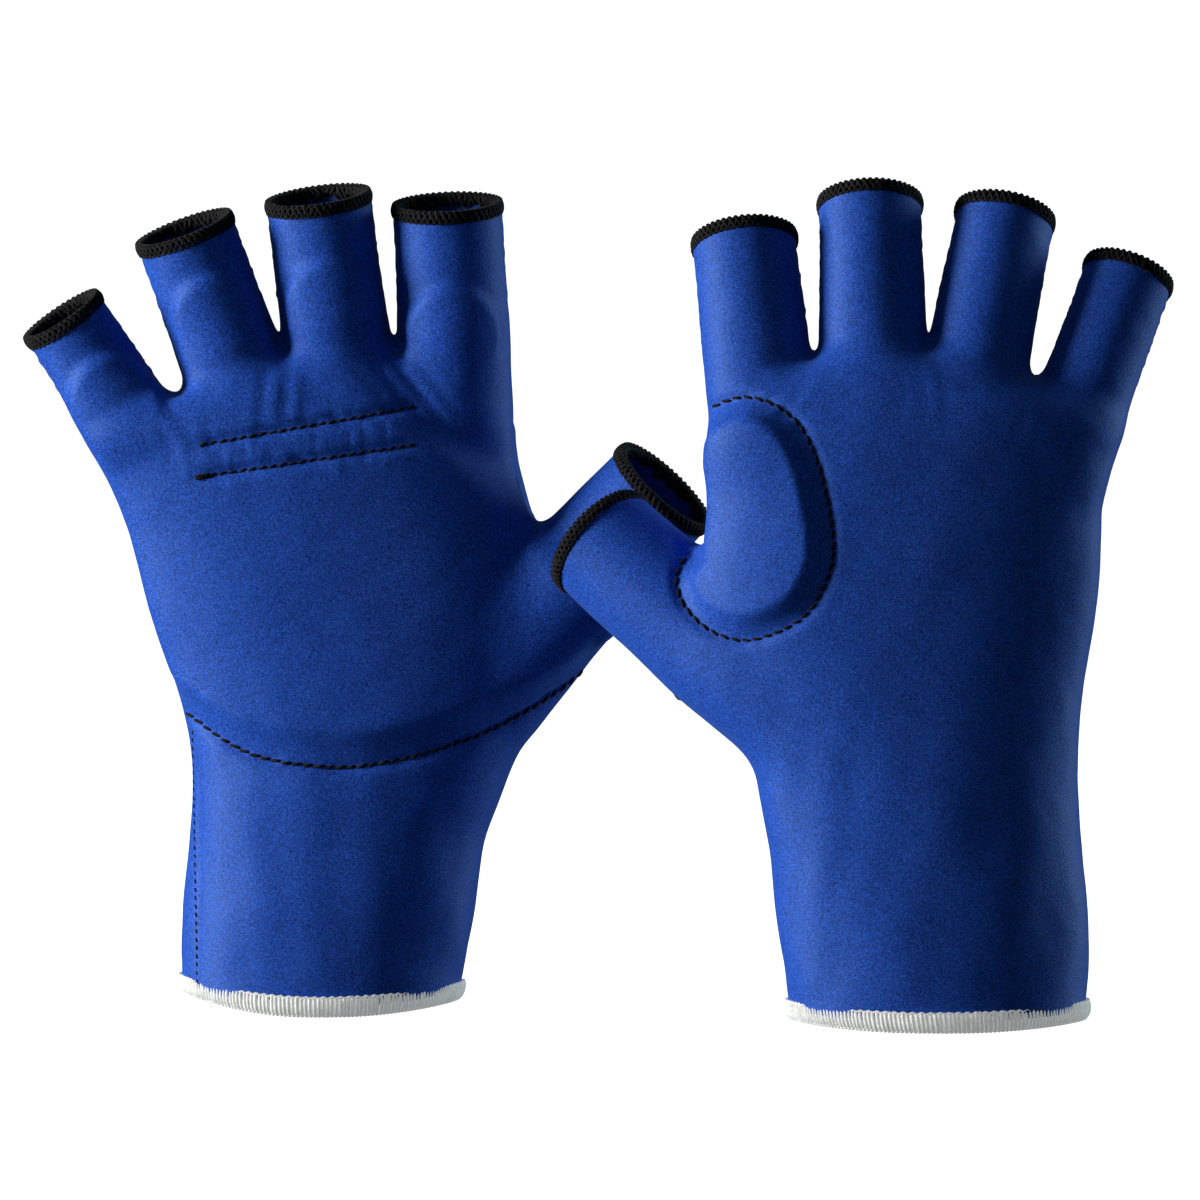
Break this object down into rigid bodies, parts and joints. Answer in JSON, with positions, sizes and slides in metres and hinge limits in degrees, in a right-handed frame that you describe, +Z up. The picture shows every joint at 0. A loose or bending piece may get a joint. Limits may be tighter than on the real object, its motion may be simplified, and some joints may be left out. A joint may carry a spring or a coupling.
{
  "type": "padded half-finger glove pair",
  "caption": "Pair of half-finger stretch gloves with padded palms and thumb webs, overlocked finger openings and an elastic cuff, standing on their cuffs.",
  "frame": {"origin": "centre of the pair's bounding box, on the plane the cuffs stand on", "axes": "+X along the row of gloves, from glove1 to glove2; +Y away from the viewer, the way glove2's palm faces; +Z up, from cuff to fingertips"},
  "size_m": [0.2668, 0.1026, 0.1953],
  "materials": {
    "blue_knit": "royal blue stretch knit with a slight sheen",
    "gel_pad": "soft gel pad behind the knit",
    "lining": "thin blue tricot",
    "black_thread": "black overlock and lock stitch thread",
    "white_thread": "off-white overlock thread",
    "elastic": "white elastic band"
  },
  "bodies": {
    "glove1_hand": {"glove1_palm_panel": "blue_knit", "glove1_back_panel": "blue_knit", "glove1_palm_lining": "lining", "glove1_palm_pad": "gel_pad", "glove1_web_pad": "gel_pad", "glove1_cuff_elastic": "elastic", "glove1_cuff_overlock": "white_thread", "glove1_heel_stitching": "black_thread", "glove1_web_pad_stitching": "black_thread"},
    "glove1_fingers": {"glove1_knuckle_palm_panel": "blue_knit", "glove1_knuckle_back_panel": "blue_knit", "glove1_lower_flex_stitching": "black_thread", "glove1_upper_flex_stitching": "black_thread", "glove1_web_pad_top_stitching": "black_thread", "glove1_little_stall": "blue_knit", "glove1_little_pad": "gel_pad", "glove1_little_edge_overlock": "black_thread", "glove1_ring_stall": "blue_knit", "glove1_ring_pad": "gel_pad", "glove1_ring_edge_overlock": "black_thread", "glove1_middle_stall": "blue_knit", "glove1_middle_pad": "gel_pad", "glove1_middle_edge_overlock": "black_thread", "glove1_index_stall": "blue_knit", "glove1_index_pad": "gel_pad", "glove1_index_edge_overlock": "black_thread"},
    "glove1_thumb": {"glove1_thumb_stall": "blue_knit", "glove1_thumb_edge_overlock": "black_thread"},
    "glove2_hand": {"glove2_palm_panel": "blue_knit", "glove2_back_panel": "blue_knit", "glove2_palm_lining": "lining", "glove2_palm_pad": "gel_pad", "glove2_web_pad": "gel_pad", "glove2_cuff_elastic": "elastic", "glove2_cuff_overlock": "white_thread", "glove2_heel_stitching": "black_thread", "glove2_web_pad_stitching": "black_thread"},
    "glove2_fingers": {"glove2_knuckle_palm_panel": "blue_knit", "glove2_knuckle_back_panel": "blue_knit", "glove2_lower_flex_stitching": "black_thread", "glove2_upper_flex_stitching": "black_thread", "glove2_web_pad_top_stitching": "black_thread", "glove2_little_stall": "blue_knit", "glove2_little_pad": "gel_pad", "glove2_little_edge_overlock": "black_thread", "glove2_ring_stall": "blue_knit", "glove2_ring_pad": "gel_pad", "glove2_ring_edge_overlock": "black_thread", "glove2_middle_stall": "blue_knit", "glove2_middle_pad": "gel_pad", "glove2_middle_edge_overlock": "black_thread", "glove2_index_stall": "blue_knit", "glove2_index_pad": "gel_pad", "glove2_index_edge_overlock": "black_thread"},
    "glove2_thumb": {"glove2_thumb_stall": "blue_knit", "glove2_thumb_edge_overlock": "black_thread"}
  },
  "joints": [
    {"name": "glove1_finger_fold", "type": "hinge", "parent": "glove1_hand", "child": "glove1_fingers", "pos_m": [-0.06661, 0.027, 0.1322], "axis": [0.9877, 0, 0.1564], "range_deg": [0, 60], "stiffness_Nm_per_rad": 0.12},
    {"name": "glove1_thumb_swing", "type": "hinge", "parent": "glove1_hand", "child": "glove1_thumb", "pos_m": [0.0001, 0.02329, 0.10636], "axis": [-0.0713, -0.9945, -0.0764], "range_deg": [-10, 20], "stiffness_Nm_per_rad": 0.06},
    {"name": "glove2_finger_fold", "type": "hinge", "parent": "glove2_hand", "child": "glove2_fingers", "pos_m": [0.07419, -0.027, 0.133], "axis": [-0.9903, 0, 0.1392], "range_deg": [0, 60], "stiffness_Nm_per_rad": 0.12},
    {"name": "glove2_thumb_swing", "type": "hinge", "parent": "glove2_hand", "child": "glove2_thumb", "pos_m": [0.01718, -0.02122, 0.09644], "axis": [0.208, 0.9613, -0.1808], "range_deg": [-10, 20], "stiffness_Nm_per_rad": 0.06},
    {"name": "pair_slide", "type": "slide", "parent": "glove1_hand", "child": "glove2_hand", "axis": [1, 0, 0], "range_m": [0, 0.12]}
  ]
}
